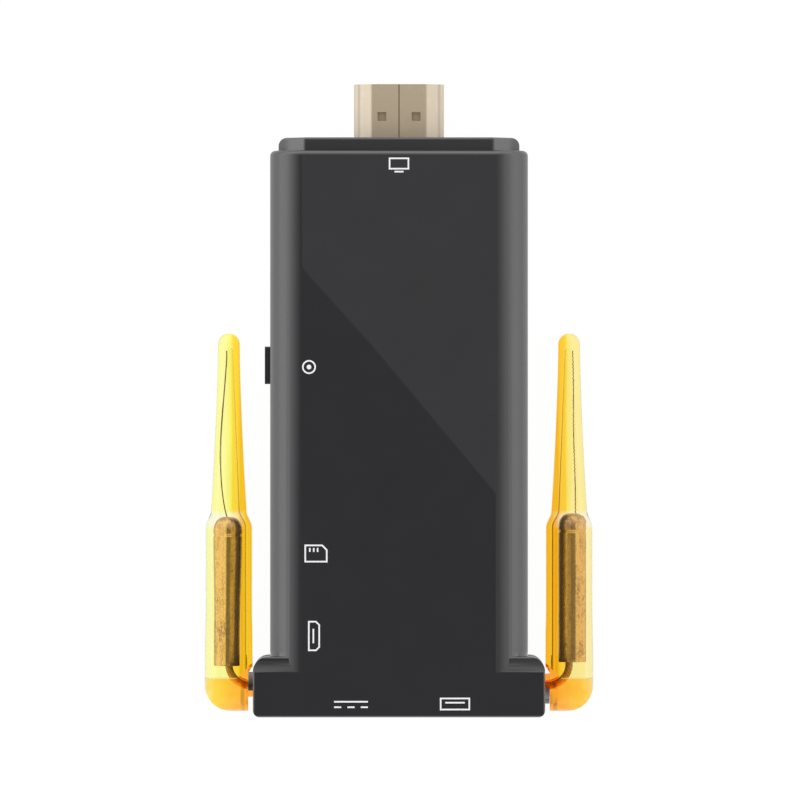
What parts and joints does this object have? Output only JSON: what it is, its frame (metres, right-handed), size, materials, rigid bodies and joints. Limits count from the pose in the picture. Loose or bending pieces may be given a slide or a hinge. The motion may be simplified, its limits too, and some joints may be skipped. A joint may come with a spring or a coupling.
{
  "type": "streaming stick",
  "caption": "Slim plug-in media stick: dark two-shell case with a cross-bar foot, gold video plug, side button and amber swivelling antennas with brass sleeves.",
  "frame": {"origin": "middle of the rear face's box: half the whole length, half the width, on the rear face", "axes": "+Y towards the video plug along the case, +Z out of the front face, +X to the right seen from the front"},
  "size_m": [0.0602, 0.0976, 0.014],
  "materials": {
    "case_front": "glossy moulded dark grey plastic",
    "case_rear": "fine matt moulded dark grey plastic",
    "collar": "satin moulded dark grey plastic",
    "button": "satin moulded black plastic",
    "screw_steel": "blackened steel",
    "board": "green lacquered glass-fibre board",
    "chip_black": "matt black moulded chip",
    "capacitor": "fired ceramic",
    "tin": "tinned sheet steel",
    "pad": "soft thermal pad",
    "sink": "extruded aluminium",
    "plug_gold": "pale gold plated folded sheet",
    "socket_black": "black moulded insulator",
    "socket_white": "white moulded insulator",
    "plunger": "grey moulded plunger",
    "contact_gold": "gold plated spring strip",
    "amber": "clear amber moulded plastic",
    "amber_deep": "clear deep amber moulded plastic",
    "sleeve_brass": "aged rolled brass",
    "wire_brass": "drawn brass wire",
    "lead": "brown coaxial lead",
    "cable_black": "dark grey coaxial lead"
  },
  "bodies": {
    "casing": {"top_cover": "case_front", "bottom_cover": "case_rear", "plug_collar": "collar", "case_screws": "screw_steel", "main_board": "board", "processor": "chip_black", "memory_chips": "chip_black", "flash_chip": "chip_black", "power_chip": "chip_black", "crystal": "tin", "chokes": "chip_black", "capacitors": "capacitor", "thermal_pad": "pad", "heat_sink": "sink", "wireless_module": "tin", "video_plug_shell": "plug_gold", "video_plug_body": "socket_black", "video_plug_contacts": "contact_gold", "data_socket_shell": "tin", "data_socket_tongue": "socket_white", "data_socket_contacts": "contact_gold", "power_socket_shell": "tin", "power_socket_tongue": "socket_black", "power_socket_contacts": "contact_gold", "side_socket_shell": "tin", "side_socket_tongue": "socket_black", "side_socket_contacts": "contact_gold", "card_socket_base": "socket_black", "card_socket_cover": "tin", "card_socket_contacts": "contact_gold", "fn_switch_body": "socket_white", "left_feed_cable": "cable_black", "right_feed_cable": "cable_black"},
    "button": {"fn_button": "button", "fn_switch_plunger": "plunger"},
    "left_antenna": {"left_antenna_tube": "amber", "left_antenna_knuckle": "amber_deep", "left_antenna_sleeve": "sleeve_brass", "left_antenna_wire": "wire_brass", "left_antenna_lead": "lead"},
    "right_antenna": {"right_antenna_tube": "amber", "right_antenna_knuckle": "amber_deep", "right_antenna_sleeve": "sleeve_brass", "right_antenna_wire": "wire_brass", "right_antenna_lead": "lead"}
  },
  "joints": [
    {"name": "button_press", "type": "slide", "parent": "casing", "child": "button", "axis": [1, 0, 0], "range_m": [0, 0.0003], "stiffness_N_per_m": 1000, "springref_m": -0.0008},
    {"name": "left_antenna_swing", "type": "hinge", "parent": "casing", "child": "left_antenna", "pos_m": [-0.0263, -0.04405, 0.007], "axis": [1, 0, 0], "range_deg": [0, 180]},
    {"name": "right_antenna_swing", "type": "hinge", "parent": "casing", "child": "right_antenna", "pos_m": [0.0263, -0.04405, 0.007], "axis": [1, 0, 0], "range_deg": [0, 180]}
  ]
}
